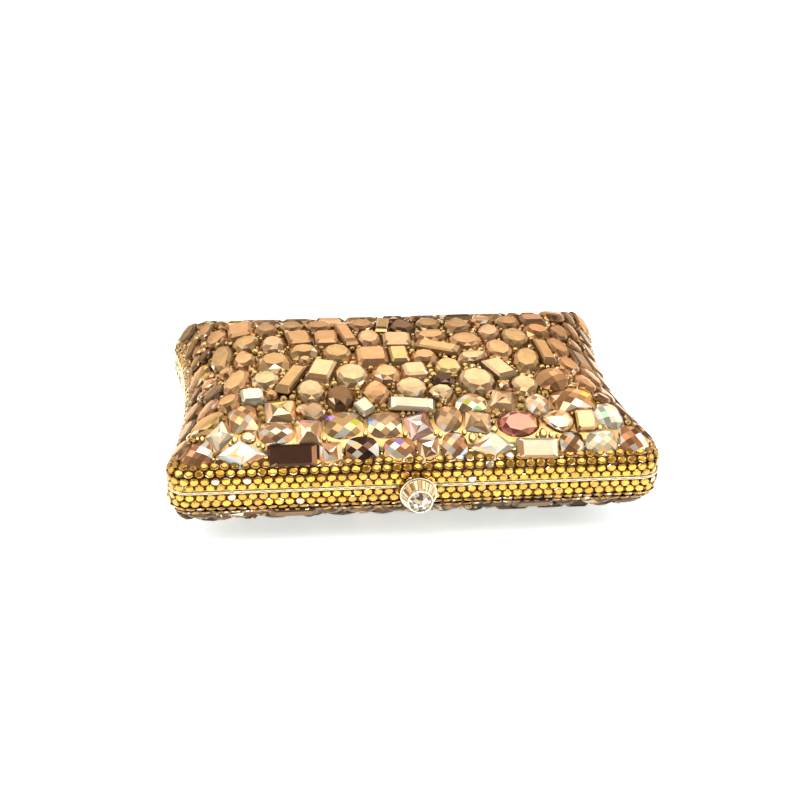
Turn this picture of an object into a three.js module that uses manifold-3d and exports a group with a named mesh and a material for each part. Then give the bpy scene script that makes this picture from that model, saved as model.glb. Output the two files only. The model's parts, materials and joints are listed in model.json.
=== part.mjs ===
// A hard-shell evening bag: two domed metal halves on gold frames, covered with
// stones, hinged along the far edge and held shut by a push-button latch.
// Millimetres, +Z up. The bag lies on its back panel and the origin is the middle
// of that panel's flat facet. X is the width, -Y the clasp edge, +Y the hinge edge.
import * as THREE from 'three';
import { mergeVertices } from 'three/addons/utils/BufferGeometryUtils.js';
import Module from 'manifold-3d';

const wasm = await Module();
wasm.setup();

// ---- driving dimensions -------------------------------------------------------
const WIDTH = 195; // over the corners
const WAIST = 182.5; // between the hollow left and right sides
const DEPTH = 122;
const CORNER_R = 8.5;
const BAND_HALF = 9.4; // height of one half's rhinestone band
const DOME = 19.2; // rise of one half's stones above its band
const DOME_POWER = 4.27;
const SEAM_Z = BAND_HALF + DOME;
const GAP = 0.3; // clearance between touching pieces
const FACET = 0.35; // share of the outline that the flat middle of a dome takes

const WALL_IN = 2.4; // outer face of a frame's wall, inward from the outline
const WALL_OUT = 3.4; // inner face of it
const LEDGE_IN = 7.5;
const LEDGE_TOP = 9.0;
const LEDGE_BOTTOM = 8.2;
const SHELL_FOOT = LEDGE_TOP + GAP;
const SHELL_EDGE = 2.7;
const SHELL_THICK = 1.2;
const STONE_THICK = 4.6;
const LINING_IN = 8.0;
const LINING_THICK = 1.0;

const HINGE_X = 55;
const HINGE_LONG = 24;
const KNUCKLE_R = 1.9;
const KNUCKLE_BORE = 1.1;
const HINGE_PIN_R = 0.8;
const HINGE_Y = DEPTH / 2 + 0.4;
const CENTRE_KNUCKLE = 3.9; // half length of the back leaf's knuckle
const LEAF = 0.8; // sheet thickness
const LEAF_IN = 3.7; // leaf's upright face, inward from the outline
const LEAF_TALL = 7.4;
const RIVET_X = 8;
const RIVET_H = 4.6;
const RIVET_R = 0.8;
const RIVET_HOLE = 1.1;

const BUTTON_H = -2.2; // axis of the button, from the seam
const STEM_R = 0.9;
const SLEEVE_R = 1.7;
const SLEEVE_BORE = 1.2;
const FLANGE_R = 7.35;
const BEZEL_R = 5.2;

// ---- colours --------------------------------------------------------------------
const finish = (color, roughness, metalness) =>
  new THREE.MeshStandardMaterial({ color, roughness, metalness });
const gold = finish(0xe3c25a, 0.25, 1);
const paleGold = finish(0xf0dfae, 0.2, 1);
const steel = finish(0xb9bcc0, 0.3, 1);
const satin = finish(0xc9a873, 0.7, 0);
const topaz = finish(0xe0ae2c, 0.12, 0.2);
const champagne = finish(0xc79f74, 0.1, 0.1);
const crystal = finish(0xf4efe6, 0.05, 0);

// ---- outline ----------------------------------------------------------------------
// Straight near and far edges, hollow arcs left and right and round corners between
// them. Every point carries its inward normal, so an inset is a true offset.
const STRAIGHT_STEPS = 5;
const CORNER_STEPS = 5;
const SIDE_STEPS = 7;

function outlinePoints() {
  const cx = WIDTH / 2 - CORNER_R;
  const cy = DEPTH / 2 - CORNER_R;
  const a = WAIST / 2 - cx;
  const sideR = (a * a + cy * cy - CORNER_R * CORNER_R) / (2 * (CORNER_R - a));
  const sideX = WAIST / 2 + sideR;
  const turn = Math.atan2(cy, sideX - cx);
  const points = [];
  const arc = (x, y, r, from, to, steps, inward) => {
    for (let i = 0; i < steps; i++) {
      const t = from + ((to - from) * i) / steps;
      const n = [inward * Math.cos(t), inward * Math.sin(t)];
      points.push({ x: x + r * Math.cos(t), y: y + r * Math.sin(t), nx: n[0], ny: n[1] });
    }
  };
  const line = (from, to, y, ny) => {
    for (let i = 0; i < STRAIGHT_STEPS; i++) {
      const x = from + ((to - from) * i) / STRAIGHT_STEPS;
      points.push({ x, y, nx: 0, ny });
    }
  };
  line(-cx, cx, -DEPTH / 2, 1);
  arc(cx, -cy, CORNER_R, -Math.PI / 2, turn, CORNER_STEPS, -1);
  arc(sideX, 0, sideR, Math.PI + turn, Math.PI - turn, SIDE_STEPS, 1);
  arc(cx, cy, CORNER_R, -turn, Math.PI / 2, CORNER_STEPS, -1);
  line(cx, -cx, DEPTH / 2, -1);
  arc(-cx, cy, CORNER_R, Math.PI / 2, Math.PI + turn, CORNER_STEPS, -1);
  arc(-sideX, 0, sideR, turn, -turn, SIDE_STEPS, 1);
  arc(-cx, -cy, CORNER_R, Math.PI - turn, (3 * Math.PI) / 2, CORNER_STEPS, -1);
  return points;
}
const OUTLINE = outlinePoints();
const SPINE = (WIDTH - DEPTH) / 2; // half length of the ridge that the domes close on
const OFFSET_LIMIT = 6; // deeper insets shrink towards the spine instead

// The outline moved inward by d, at height h above the seam.
function ring(d, h) {
  const near = Math.min(d, OFFSET_LIMIT);
  const share = (DEPTH / 2 - d) / (DEPTH / 2 - near);
  return OUTLINE.map((p) => {
    const x = p.x + p.nx * near;
    const y = p.y + p.ny * near;
    const spineX = THREE.MathUtils.clamp((x * SPINE) / (WIDTH / 2), -SPINE, SPINE);
    return [spineX + (x - spineX) * share, y * share, h];
  });
}

// Height of a dome at inset d: it leaves its edge at height low and flattens at high.
function dome(d, edge, low, high) {
  const r = (DEPTH / 2 - d) / (DEPTH / 2 - edge);
  return low + (high - low) * (1 - Math.pow(Math.max(r, 0), DOME_POWER));
}
const stoneTop = (d) => dome(d, 0, BAND_HALF, SEAM_Z);
const shellTop = (d) => dome(d, SHELL_EDGE, SHELL_FOOT, SEAM_Z - STONE_THICK);
const shellUnder = (d) =>
  dome(d, SHELL_EDGE + SHELL_THICK, SHELL_FOOT, SEAM_Z - STONE_THICK - SHELL_THICK);

// ---- solids ----------------------------------------------------------------------
function solid(rings, closed) {
  const count = rings[0].length;
  const vertices = rings.flat(2);
  const index = [];
  const last = closed ? rings.length : rings.length - 1;
  for (let i = 0; i < last; i++) {
    const a = i * count;
    const b = ((i + 1) % rings.length) * count;
    for (let j = 0; j < count; j++) {
      const k = (j + 1) % count;
      index.push(a + j, a + k, b + k, a + j, b + k, b + j);
    }
  }
  const cap = (ringIndex, flip) => {
    const flat = rings[ringIndex].map((p) => new THREE.Vector2(p[0], p[1]));
    for (const [a, b, c] of THREE.ShapeUtils.triangulateShape(flat, [])) {
      const base = ringIndex * count;
      index.push(base + a, base + (flip ? c : b), base + (flip ? b : c));
    }
  };
  if (!closed) {
    cap(0, true);
    cap(rings.length - 1, false);
  }
  const geometry = new THREE.BufferGeometry();
  geometry.setAttribute('position', new THREE.Float32BufferAttribute(vertices, 3));
  geometry.setIndex(index);
  return geometry;
}

// A ring swept round the outline from a profile of [inset, height] corners.
const swept = (profile) => solid(profile.map(([d, h]) => ring(d, h)), true);

// A bowl between an inner and an outer surface, each a list of [inset, height].
const bowl = (inner, outer) => {
  const profile = [...inner].reverse().concat(outer);
  return solid(profile.map(([d, h]) => ring(d, h)), false);
};

function toManifold(geometry) {
  const bare = geometry.clone();
  bare.deleteAttribute('normal');
  bare.deleteAttribute('uv');
  const merged = mergeVertices(bare, 1e-4);
  const mesh = new wasm.Mesh({
    numProp: 3,
    vertProperties: new Float32Array(merged.attributes.position.array),
    triVerts: new Uint32Array(merged.index.array),
  });
  return new wasm.Manifold(mesh);
}

function fromManifold(manifold) {
  const mesh = manifold.getMesh();
  const geometry = new THREE.BufferGeometry();
  geometry.setAttribute('position', new THREE.BufferAttribute(mesh.vertProperties, 3));
  geometry.setIndex(new THREE.BufferAttribute(mesh.triVerts, 1));
  return geometry;
}

const cut = (geometry, tools) =>
  fromManifold(tools.reduce((body, tool) => body.subtract(toManifold(tool)), toManifold(geometry)));
const join = (pieces) =>
  fromManifold(pieces.slice(1).reduce((body, p) => body.add(toManifold(p)), toManifold(pieces[0])));

// A box from its low to its high corner.
function box(low, high) {
  const size = high.map((v, i) => v - low[i]);
  const geometry = new THREE.BoxGeometry(...size);
  return geometry.translate(...high.map((v, i) => (v + low[i]) / 2));
}

const rodX = (r, from, to, y, h, sides = 10) =>
  new THREE.CylinderGeometry(r, r, to - from, sides)
    .rotateZ(Math.PI / 2)
    .translate((from + to) / 2, y, h);
const rodY = (r, from, to, x, h, sides = 8) =>
  new THREE.CylinderGeometry(r, r, to - from, sides).translate(0, (from + to) / 2, 0).translate(x, 0, h);

// Turned about an axis along -Y through (x, h): profile corners are [radius, y].
const turned = (profile, x, h, sides) => {
  const points = profile.map(([r, y]) => new THREE.Vector2(r, y));
  return new THREE.LatheGeometry(points, sides).translate(x, 0, h);
};

const NEAR = -DEPTH / 2; // y of the near outline, where insets count towards +Y
const FAR = DEPTH / 2;

// ---- half shells --------------------------------------------------------------------
const RIM_LOW = 0.15;
const RIM_HIGH = 0.95;
const RIM_OUT = 0.5;
const DOME_INSETS = [5, 9, 15, 24];
const FACET_INSET = (DEPTH / 2) * (1 - FACET);

function frameRing() {
  return swept([
    [RIM_OUT, RIM_LOW],
    [RIM_OUT, RIM_HIGH],
    [WALL_IN, RIM_HIGH],
    [WALL_IN, LEDGE_TOP],
    [LEDGE_IN, LEDGE_TOP],
    [LEDGE_IN, LEDGE_BOTTOM],
    [WALL_OUT, LEDGE_BOTTOM],
    [WALL_OUT, RIM_LOW],
  ]);
}

// Upright rows of stones up to the shoulder, which slopes in over the frame's top.
function rhinestoneBand() {
  const back = WALL_IN - GAP;
  return swept([
    [0, RIM_HIGH + GAP],
    [0, 6.6],
    [1.9, 9.7],
    [WALL_IN, 9.9],
    [WALL_IN, LEDGE_TOP + GAP],
    [back, LEDGE_TOP + GAP],
    [back, RIM_HIGH + GAP],
  ]);
}

function surface(height, edge) {
  const insets = [edge, ...DOME_INSETS, FACET_INSET];
  return insets.map((d) => [d, d === FACET_INSET ? height(DEPTH / 2) : height(d)]);
}

function stonePanel() {
  const clear = (d) => shellTop(d) + 0.55;
  const inner = surface(clear, SHELL_EDGE + 0.05);
  inner[0][1] = 10.2;
  return bowl(inner, surface(stoneTop, SHELL_EDGE));
}

function shell() {
  return bowl(surface(shellUnder, SHELL_EDGE + SHELL_THICK), surface(shellTop, SHELL_EDGE));
}

// The lining's lip covers the gap between frame and lining along the seam.
function lining() {
  const under = (d) => shellUnder(d) - 0.4;
  const inside = (d) => under(d + 0.4) - LINING_THICK;
  const outer = surface(under, LINING_IN).slice(0, 1).concat(surface(under, 9.5).slice(2));
  const lip = [[WALL_OUT + GAP, RIM_LOW + GAP], [WALL_OUT + GAP, 1.3], [LINING_IN, 1.3]];
  const inner = surface(inside, LINING_IN + LINING_THICK);
  inner.splice(1, 2);
  inner.unshift([LINING_IN + LINING_THICK, RIM_LOW + GAP]);
  return bowl(inner, [...lip, ...outer]);
}

// Turns a piece of the front half into the back half's: mirrored below the seam.
function below(geometry) {
  const flipped = geometry.clone();
  flipped.scale(1, 1, -1);
  const index = flipped.index.array;
  for (let i = 0; i < index.length; i += 3) {
    const keep = index[i];
    index[i] = index[i + 1];
    index[i + 1] = keep;
  }
  return flipped;
}

// ---- hinges -------------------------------------------------------------------------
// Both leaves of a hinge, made round x = 0 with the front leaf above the seam.
const leafUpright = FAR - LEAF_IN;

function frontLeaf() {
  const half = HINGE_LONG / 2;
  const inside = CENTRE_KNUCKLE + GAP;
  const clear = HINGE_Y - KNUCKLE_R - GAP;
  const pieces = [
    box([-half, leafUpright - LEAF, GAP], [half, clear, GAP + LEAF]),
    box([-half, leafUpright - LEAF, GAP], [half, leafUpright, LEAF_TALL]),
  ];
  for (const side of [-1, 1]) {
    const [from, to] = side < 0 ? [-half, -inside] : [inside, half];
    pieces.push(box([from, clear - 0.1, GAP], [to, HINGE_Y, GAP + LEAF]));
    pieces.push(rodX(KNUCKLE_R, from, to, HINGE_Y, 0));
  }
  return cut(join(pieces), [...leafHoles(1), pinBore()]);
}

function backLeaf() {
  const half = HINGE_LONG / 2;
  const pieces = [
    box([-half, leafUpright - LEAF, -GAP - LEAF], [half, HINGE_Y - KNUCKLE_R - GAP, -GAP]),
    box([-half, leafUpright - LEAF, -LEAF_TALL], [half, leafUpright, -GAP]),
    box([-CENTRE_KNUCKLE, leafUpright, -GAP - LEAF], [CENTRE_KNUCKLE, HINGE_Y, -GAP]),
    rodX(KNUCKLE_R, -CENTRE_KNUCKLE, CENTRE_KNUCKLE, HINGE_Y, 0),
  ];
  return cut(join(pieces), [...leafHoles(-1), pinBore()]);
}

const pinBore = () => rodX(KNUCKLE_BORE, -HINGE_LONG, HINGE_LONG, HINGE_Y, 0);
const leafHoles = (up) =>
  [-RIVET_X, RIVET_X].map((x) => rodY(RIVET_HOLE, leafUpright - 2, FAR, x, up * RIVET_H));

// A rivet through a leaf and the wall of a frame, its head inside the bag. The
// profile runs from the shank's blind end to the head, inward from the outline.
function rivet(x, h, far, sheet) {
  const head = LEAF_IN + sheet + GAP;
  const profile = [[0, WALL_IN + 0.05], [RIVET_R, WALL_IN + 0.05], [RIVET_R, head],
    [RIVET_R * 2, head], [RIVET_R * 1.6, head + 0.6], [0, head + 0.75]];
  const inward = turned(profile, 0, 0, 8);
  if (far) {
    inward.rotateZ(Math.PI);
  }
  return inward.translate(x, far ? FAR : NEAR, h);
}

// Room for a hinge's barrel and leaves in the bands and in the frames.
const barrelNotch = (x) =>
  box([x - HINGE_LONG / 2 - 0.4, FAR - 2.2, -2.3], [x + HINGE_LONG / 2 + 0.4, FAR + 1, 2.3]);
const leafNotch = (x) =>
  box([x - HINGE_LONG / 2 - 0.4, FAR - 4, -1.4], [x + HINGE_LONG / 2 + 0.4, FAR + 1, 1.4]);
const HINGES = [-HINGE_X, HINGE_X];
const hingeRivets = HINGES.flatMap((x) => [x - RIVET_X, x + RIVET_X]);

// ---- latch and button ------------------------------------------------------------------
const FORK_HALF = 11;
const FORK_SLOT = 2.8; // half width of the slot that clears the button's stem
const FORK_TOP = 7;
const FORK_FOOT = -6.5;
const TAB_FROM = 5;
const TAB_TO = 9;
const FORK_RIVET_X = 8;
const CATCH_HIGH = -1.3;
const CATCH_LOW = -4.5;
const CATCH_RIVET_X = 18;
const CATCH_SHEET = 0.5;
const BRIDGE_IN = 5.4;
const catchMiddle = (CATCH_HIGH + CATCH_LOW) / 2;

// The front half's fork: two prongs below the seam, each with a window for a tab.
function latchTongue() {
  const outline = new THREE.Shape();
  outline.moveTo(-FORK_HALF, FORK_FOOT);
  outline.lineTo(-FORK_SLOT, FORK_FOOT);
  outline.lineTo(-FORK_SLOT, 1.5);
  outline.lineTo(FORK_SLOT, 1.5);
  outline.lineTo(FORK_SLOT, FORK_FOOT);
  outline.lineTo(FORK_HALF, FORK_FOOT);
  outline.lineTo(FORK_HALF, FORK_TOP);
  outline.lineTo(-FORK_HALF, FORK_TOP);
  for (const side of [-1, 1]) {
    const window = new THREE.Path();
    window.moveTo(side * (TAB_FROM - 0.5), CATCH_LOW - 0.4);
    window.lineTo(side * (TAB_TO + 0.5), CATCH_LOW - 0.4);
    window.lineTo(side * (TAB_TO + 0.5), CATCH_HIGH + 0.4);
    window.lineTo(side * (TAB_FROM - 0.5), CATCH_HIGH + 0.4);
    outline.holes.push(window);
  }
  const plate = new THREE.ExtrudeGeometry(outline, { depth: LEAF, bevelEnabled: false });
  plate.rotateX(Math.PI / 2).translate(0, NEAR + LEAF_IN + LEAF, 0);
  const holes = [-FORK_RIVET_X, FORK_RIVET_X].map((x) => rodY(RIVET_HOLE, NEAR, NEAR + 8, x, RIVET_H));
  return cut(plate, holes);
}

// The back half's spring strip: riveted feet, a bridge behind the fork and two tabs.
function catchSpring() {
  const foot = LEAF_IN;
  const half = [[0, BRIDGE_IN], [TAB_FROM, BRIDGE_IN], [TAB_FROM, 4.0], [TAB_TO, 4.0],
    [TAB_TO, BRIDGE_IN], [12.6, BRIDGE_IN], [14.6, foot], [21.5, foot],
    [21.5, foot + CATCH_SHEET], [14.9, foot + CATCH_SHEET], [12.8, BRIDGE_IN + CATCH_SHEET],
    [0, BRIDGE_IN + CATCH_SHEET]];
  const mirrored = half.slice(1, -1).reverse().map(([x, d]) => [-x, d]);
  const outline = new THREE.Shape(half.concat(mirrored).map(([x, d]) => new THREE.Vector2(x, d)));
  const height = CATCH_HIGH - CATCH_LOW;
  const strip = new THREE.ExtrudeGeometry(outline, { depth: height, bevelEnabled: false });
  strip.translate(0, NEAR, CATCH_LOW);
  const holes = [-CATCH_RIVET_X, CATCH_RIVET_X].map((x) =>
    rodY(RIVET_HOLE, NEAR + 1, NEAR + 8, x, catchMiddle));
  return cut(strip, holes);
}

// Turned pieces on the button's axis; distances are outward from the near outline.
const outward = (profile, sides) =>
  turned(profile.map(([r, o]) => [r, NEAR - o]), 0, BUTTON_H, sides);

const buttonSleeve = () => outward([[SLEEVE_BORE, -WALL_OUT], [SLEEVE_R, -WALL_OUT],
  [SLEEVE_R, 0.3], [3.8, 0.3], [3.6, 0.9], [SLEEVE_BORE, 0.9], [SLEEVE_BORE, -WALL_OUT]].reverse(), 16);
const claspKnob = () => outward([[0, 6.4], [1.2, 6.4], [1.2, 4.7], [3.4, 4.7], [3.4, 2.4],
  [FLANGE_R, 2.4], [FLANGE_R, 3.3], [6.4, 3.5], [4.6, 7.6], [BEZEL_R, 7.9], [BEZEL_R, 8.6],
  [4.4, 9.0], [4.2, 8.0], [0, 8.0]].reverse(), 24);
const stoneRing = () => outward([[6.75, 3.75], [7.15, 4.0], [5.6, 7.4], [5.0, 7.55],
  [6.75, 3.75]].reverse(), 24);
const claspCrystal = () => outward([[0, 8.3], [3.4, 8.3], [3.9, 8.9], [2.2, 9.9],
  [0, 9.9]].reverse(), 12);
const claspStem = () => outward([[0, -5.1], [STEM_R, -5.1], [STEM_R, 6.1], [0, 6.1]].reverse(), 12);
const claspRetainer = () => outward([[SLEEVE_BORE, -4.4], [2.1, -4.4], [2.1, -3.8],
  [SLEEVE_BORE, -3.8], [SLEEVE_BORE, -4.4]].reverse(), 12);

class Helix extends THREE.Curve {
  constructor(radius, from, to, turns) {
    super();
    Object.assign(this, { radius, from, to, turns });
  }
  getPoint(t, target = new THREE.Vector3()) {
    const angle = 2 * Math.PI * this.turns * t;
    const y = this.from + (this.to - this.from) * t;
    return target.set(this.radius * Math.cos(angle), y, this.radius * Math.sin(angle));
  }
}

function claspSpring() {
  const wire = new THREE.Shape();
  wire.absarc(0, 0, 0.3, 0, 2 * Math.PI);
  const path = new Helix(2.3, NEAR - 4.1, NEAR - 1.5, 3);
  const coil = new THREE.ExtrudeGeometry(wire, { steps: 30, curveSegments: 3, extrudePath: path });
  return coil.translate(0, 0, BUTTON_H);
}

// ---- assembly ---------------------------------------------------------------------------
const bag = new THREE.Group();
const seamLevel = new THREE.Group();
seamLevel.position.z = SEAM_Z;
bag.add(seamLevel);

function place(name, geometry, material) {
  const mesh = new THREE.Mesh(geometry, material);
  mesh.name = name;
  seamLevel.add(mesh);
}

const rivetBores = (h) => hingeRivets.map((x) => rodY(RIVET_HOLE, FAR - 4, FAR - 2, x, h));
const nearBores = (xs, h) => xs.map((x) => rodY(RIVET_HOLE, NEAR + 2, NEAR + 4, x, h));
const sleeveBore = rodY(SLEEVE_R + GAP, NEAR - 1, NEAR + 4, 0, BUTTON_H);
const forkWell = box([-24, NEAR + 3, -2], [24, NEAR + LINING_IN - GAP, 2]);
const leafWells = HINGES.map((x) => box([x - 12.4, FAR - 6, -2], [x + 12.4, FAR, 2]));
const catchRivets = [-CATCH_RIVET_X, CATCH_RIVET_X];
const forkRivets = [-FORK_RIVET_X, FORK_RIVET_X];

const frontFrameCuts = [...HINGES.map(leafNotch), ...rivetBores(RIVET_H), ...nearBores(forkRivets, RIVET_H)];
const backFrameCuts = [...HINGES.map(leafNotch), ...rivetBores(-RIVET_H),
  ...nearBores(catchRivets, catchMiddle), sleeveBore];

place('front_frame', cut(frameRing(), frontFrameCuts), gold);
place('front_shell', shell(), gold);
place('front_lining', cut(lining(), [forkWell, ...leafWells]), satin);
place('front_rhinestone_band', cut(rhinestoneBand(), HINGES.map(barrelNotch)), topaz);
place('front_stone_panel', stonePanel(), champagne);
place('latch_tongue', latchTongue(), steel);

place('back_frame', cut(below(frameRing()), backFrameCuts), gold);
place('back_shell', below(shell()), gold);
place('back_lining', cut(below(lining()), [forkWell, ...leafWells]), satin);
place('back_rhinestone_band', cut(below(rhinestoneBand()), [...HINGES.map(barrelNotch), sleeveBore]), topaz);
place('back_stone_panel', below(stonePanel()), champagne);
place('catch_spring', catchSpring(), steel);
place('button_sleeve', buttonSleeve(), paleGold);

HINGES.forEach((x, i) => {
  const side = i ? 'right' : 'left';
  place(`hinge_leaf_front_${side}`, frontLeaf().translate(x, 0, 0), gold);
  place(`hinge_leaf_back_${side}`, backLeaf().translate(x, 0, 0), gold);
  const half = HINGE_LONG / 2;
  place(`hinge_pin_${side}`, rodX(HINGE_PIN_R, x - half, x + half, HINGE_Y, 0), steel);
});
hingeRivets.forEach((x, i) => {
  place(`hinge_rivet_front_${i + 1}`, rivet(x, RIVET_H, true, LEAF), gold);
  place(`hinge_rivet_back_${i + 1}`, rivet(x, -RIVET_H, true, LEAF), gold);
});
['left', 'right'].forEach((side, i) => {
  place(`tongue_rivet_${side}`, rivet(forkRivets[i], RIVET_H, false, LEAF), steel);
  place(`catch_rivet_${side}`, rivet(catchRivets[i], catchMiddle, false, CATCH_SHEET), steel);
});

place('clasp_knob', claspKnob(), paleGold);
place('clasp_stone_ring', stoneRing(), crystal);
place('clasp_crystal', claspCrystal(), crystal);
place('clasp_stem', claspStem(), steel);
place('clasp_retainer', claspRetainer(), steel);
place('clasp_spring', claspSpring(), steel);

export default bag;
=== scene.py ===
"""Evening bag in metres, +Z up: the looks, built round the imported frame.

-Y is the clasp edge, +Y the hinge edge. The bag lies on its back half.
"""
import json
import random
from math import atan2, copysign, cos, hypot, pi, radians, sin, sqrt

import bmesh
import bpy
import numpy as np
from mathutils import Matrix, Vector
from mathutils.bvhtree import BVHTree


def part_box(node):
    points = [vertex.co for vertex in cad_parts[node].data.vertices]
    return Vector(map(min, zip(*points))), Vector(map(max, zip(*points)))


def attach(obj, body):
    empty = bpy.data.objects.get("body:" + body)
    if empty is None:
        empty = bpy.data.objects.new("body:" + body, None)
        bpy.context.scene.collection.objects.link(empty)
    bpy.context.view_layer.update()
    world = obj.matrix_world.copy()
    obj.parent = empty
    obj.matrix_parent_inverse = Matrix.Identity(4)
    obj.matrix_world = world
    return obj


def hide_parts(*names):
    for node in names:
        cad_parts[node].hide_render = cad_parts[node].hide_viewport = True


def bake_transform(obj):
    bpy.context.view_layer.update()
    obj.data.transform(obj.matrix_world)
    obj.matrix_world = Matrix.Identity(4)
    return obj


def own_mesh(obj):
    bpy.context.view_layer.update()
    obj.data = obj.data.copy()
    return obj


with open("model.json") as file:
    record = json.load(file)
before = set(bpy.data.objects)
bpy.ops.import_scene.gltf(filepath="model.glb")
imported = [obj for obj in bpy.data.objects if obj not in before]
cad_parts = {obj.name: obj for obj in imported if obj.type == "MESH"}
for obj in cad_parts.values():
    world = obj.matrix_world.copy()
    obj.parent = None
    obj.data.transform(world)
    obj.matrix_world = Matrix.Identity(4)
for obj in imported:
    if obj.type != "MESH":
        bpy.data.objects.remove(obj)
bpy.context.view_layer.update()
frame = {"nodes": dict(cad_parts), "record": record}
MM = 0.001

# ---- sizes read from the frame ----
BAND_LOW, BAND_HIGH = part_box("front_rhinestone_band")
WIDTH = BAND_HIGH.x - BAND_LOW.x
DEPTH = BAND_HIGH.y - BAND_LOW.y
TOP_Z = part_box("front_stone_panel")[1].z
SEAM_Z = TOP_Z / 2
HINGES = [sum(corner.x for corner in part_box(f"hinge_pin_{side}")) / 2 for side in ("left", "right")]
HINGE_HALF = (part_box("hinge_pin_left")[1].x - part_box("hinge_pin_left")[0].x) / 2
KNOB_LOW, KNOB_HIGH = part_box("clasp_knob")
BUTTON_Z = (KNOB_LOW.z + KNOB_HIGH.z) / 2
NEAR_Y = -DEPTH / 2

# ---- the outline's own shape, as in the CAD ----
WAIST = 182.5 * MM
CORNER_R = 8.5 * MM
CORNER_X, CORNER_Y = WIDTH / 2 - CORNER_R, DEPTH / 2 - CORNER_R  # the corner arcs' centres
WAIST_R = ((WAIST / 2 - CORNER_X) ** 2 + CORNER_Y**2 - CORNER_R**2) / (WIDTH - WAIST)
BAND_HALF = 9.4 * MM  # the band's height on each half
DOME_POWER = 4.27  # a higher power makes a flatter dome with steeper sides
SHELL_EDGE = 9.3 * MM  # where the metal shell starts, above and below the seam
OFFSET_LIMIT = 6 * MM
SPINE = (WIDTH - DEPTH) / 2  # half the length of the line that the dome shrinks to


def linked(name, data):
    """A new object in the scene."""
    obj = bpy.data.objects.new(name, data)
    bpy.context.collection.objects.link(obj)
    return obj


# ---- camera ----
def outward(azimuth, elevation):
    """A direction out from the bag, from angles in degrees; azimuth 0 is the clasp side."""
    a, e = radians(azimuth), radians(elevation)
    return Vector((sin(a) * cos(e), -cos(a) * cos(e), sin(e)))


def make_camera():
    """The lens looks down on the clasp edge, a little from the left and turned slightly."""
    azimuth, elevation, distance = -7.98, 29.31, 0.5607
    roll = radians(-1.97)
    aim = Vector((0.0563, -0.0575, -1)).normalized()
    back = outward(azimuth, elevation)
    right = Vector((cos(radians(azimuth)), sin(radians(azimuth)), 0))
    level = Matrix((right, back.cross(right), back))
    aimed = Vector((0, 0, -1)).rotation_difference(aim).to_matrix()
    to_camera = aimed @ Matrix.Rotation(roll, 3, "Z") @ level
    data = bpy.data.cameras.new("camera")
    data.sensor_width = 36
    data.lens = 58.04
    data.shift_x = 0.0926
    data.shift_y = -0.082
    data.clip_start = 0.01
    camera = linked("camera", data)
    place = to_camera.transposed().to_4x4()
    place.translation = Vector((0, 0, SEAM_Z)) + back * distance
    camera.matrix_world = place
    bpy.context.scene.camera = camera


make_camera()


# ---- node helpers ----
class Nodes:
    """The node tree of a material or a world, with short ways to add and link nodes."""

    def __init__(self, owner, shader="Principled BSDF"):
        self.owner = owner
        owner.use_nodes = True
        self.tree = owner.node_tree
        self.shader = self.tree.nodes[shader]

    def add(self, kind, **settings):
        node = self.tree.nodes.new("ShaderNode" + kind)
        for key, value in settings.items():
            if key in node.inputs:
                node.inputs[key].default_value = value
            else:
                setattr(node, key, value)
        return node

    def link(self, source, target):
        self.tree.links.new(source, target)

    def feed(self, source, name):
        self.link(source, self.shader.inputs[name])

    def set(self, **values):
        for key, value in values.items():
            self.shader.inputs[key.replace("_", " ")].default_value = value

    def multiply(self, a, b):
        """Two colours multiplied."""
        node = self.add("Mix", data_type="RGBA", blend_type="MULTIPLY")
        node.inputs[0].default_value = 1.0
        self.link(a, node.inputs[6])
        self.link(b, node.inputs[7])
        return node.outputs[2]

    def ramp(self, source, *stops):
        node = self.add("ValToRGB")
        node.color_ramp.elements[0].position = stops[0][0]
        node.color_ramp.elements[1].position = stops[-1][0]
        for position, _ in stops[1:-1]:
            node.color_ramp.elements.new(position)
        for element, (_, color) in zip(node.color_ramp.elements, stops):
            element.color = color
        self.link(source, node.inputs["Fac"])
        return node.outputs["Color"]

    def noise(self, scale, detail=3.0, roughness=0.5):
        where = self.add("TexCoord")
        node = self.add("TexNoise", Scale=scale, Detail=detail, Roughness=roughness)
        self.link(where.outputs["Object"], node.inputs["Vector"])
        return node.outputs["Fac"]

    def bump(self, height, strength, distance):
        node = self.add("Bump", Strength=strength, Distance=distance)
        self.link(height, node.inputs["Height"])
        self.feed(node.outputs["Normal"], "Normal")


def material_nodes(name):
    return Nodes(bpy.data.materials.new(name))


def grey(value):
    return (value, value, value, 1)


def stone_material(name, metallic, roughness, coat, edge=(1, 1, 1, 1)):
    """Foil-backed glass: each facet keeps its stored colour; edge tints it at a low angle."""
    nodes = material_nodes(name)
    facet = nodes.add("Attribute", attribute_name="facet")
    cloud = nodes.ramp(nodes.noise(260), (0.3, grey(0.84)), (0.7, grey(1.0)))
    color = nodes.multiply(facet.outputs["Color"], cloud)
    nodes.feed(color, "Base Color")
    foil = nodes.add("Math", operation="MULTIPLY")
    foil.inputs[1].default_value = metallic
    nodes.link(facet.outputs["Alpha"], foil.inputs[0])
    nodes.feed(foil.outputs["Value"], "Metallic")
    rough = nodes.ramp(nodes.noise(900, 5), (0.35, grey(roughness)), (0.8, grey(roughness * 2.2)))
    nodes.feed(rough, "Roughness")
    nodes.set(Specular_Tint=edge, Coat_Weight=coat, Coat_Roughness=0.02, IOR=1.55)
    return nodes.owner


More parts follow.
